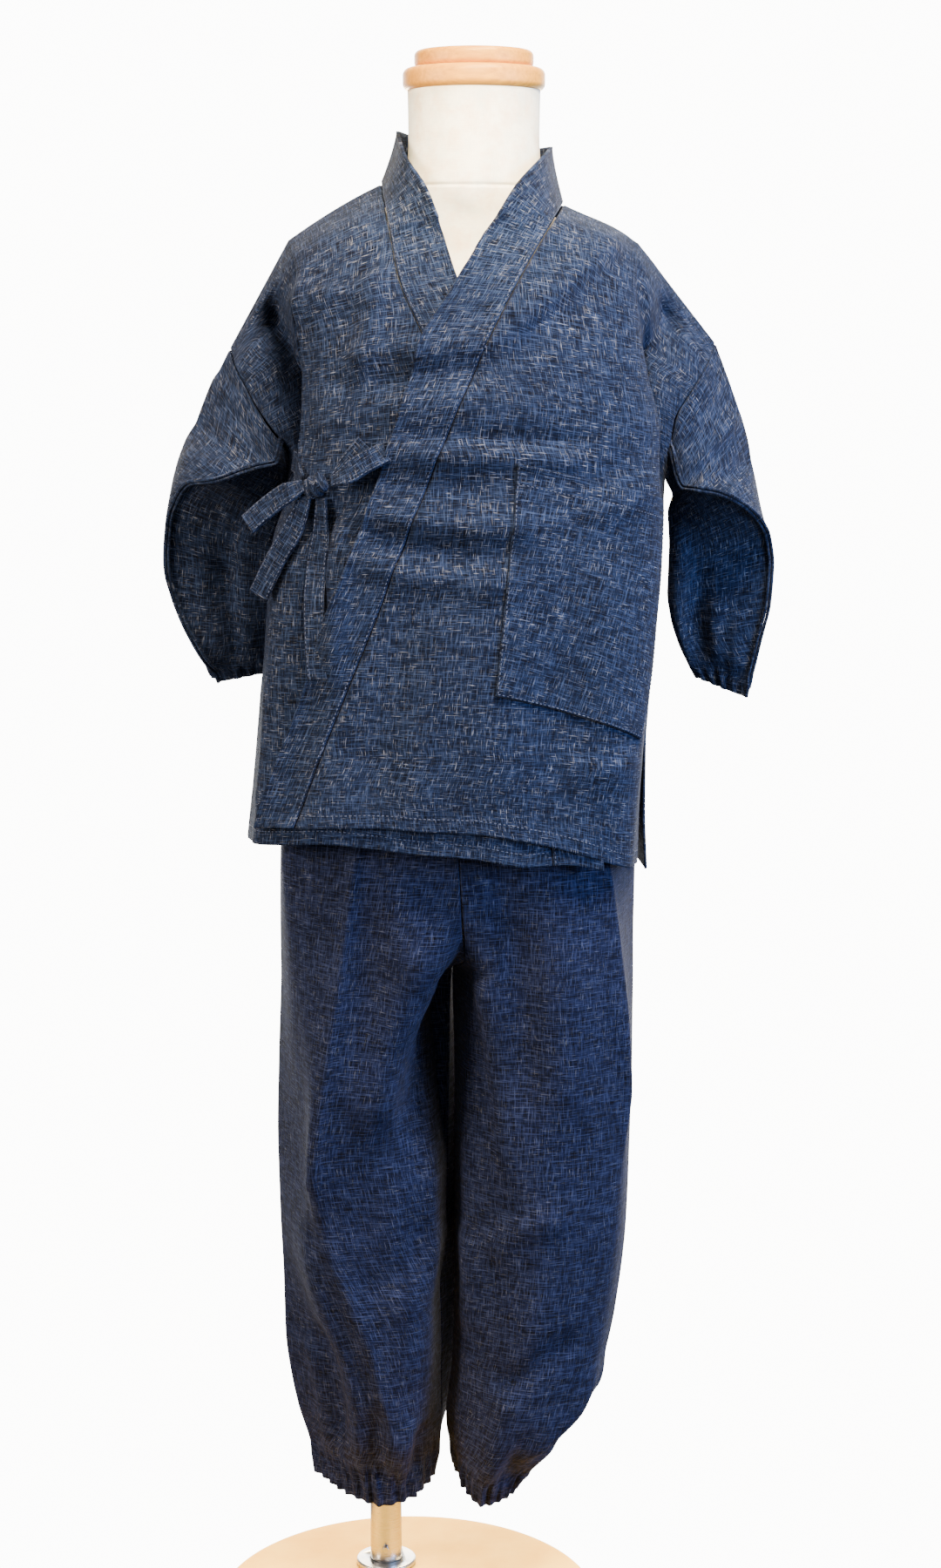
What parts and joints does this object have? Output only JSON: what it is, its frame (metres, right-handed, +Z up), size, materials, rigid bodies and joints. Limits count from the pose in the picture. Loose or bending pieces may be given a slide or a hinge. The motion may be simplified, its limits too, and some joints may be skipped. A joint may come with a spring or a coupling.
{
  "type": "samue on a dress form with stand",
  "caption": "Child's cross-over jacket and elastic-cuffed trousers in slub cotton, worn by a limbless dress form on a pole and round base",
  "frame": {"origin": "centre of the underside of the base plate, on the floor", "axes": "+Z up, the form faces -Y, +X is the wearer's left"},
  "size_m": [0.4626, 0.3, 1.2065],
  "materials": {
    "plate": "cream enamel, satin",
    "steel": "brushed tube",
    "linen": "stretched plain linen cover",
    "wood": "turned pale wood, satin varnish",
    "indigo_cotton": "indigo slub cotton with off-white slubs, matt"
  },
  "bodies": {
    "root": {"base_plate": "plate", "pole": "steel", "pole_flange": "steel", "set_screw": "steel", "form_torso": "linen", "neck_cap_lower": "wood", "neck_cap_upper": "wood", "jacket_front_left": "indigo_cotton", "jacket_front_right": "indigo_cotton", "jacket_back": "indigo_cotton", "collar": "indigo_cotton", "pocket": "indigo_cotton", "sleeve_right": "indigo_cotton", "sleeve_left": "indigo_cotton", "tie_strap_lap": "indigo_cotton", "tie_strap_side": "indigo_cotton", "tie_loop_right": "indigo_cotton", "tie_loop_left": "indigo_cotton", "tie_tail_short": "indigo_cotton", "tie_tail_long": "indigo_cotton", "tie_knot": "indigo_cotton", "trouser_front_right": "indigo_cotton", "trouser_back_right": "indigo_cotton", "trouser_front_left": "indigo_cotton", "trouser_back_left": "indigo_cotton", "waistband": "indigo_cotton"}
  },
  "joints": []
}
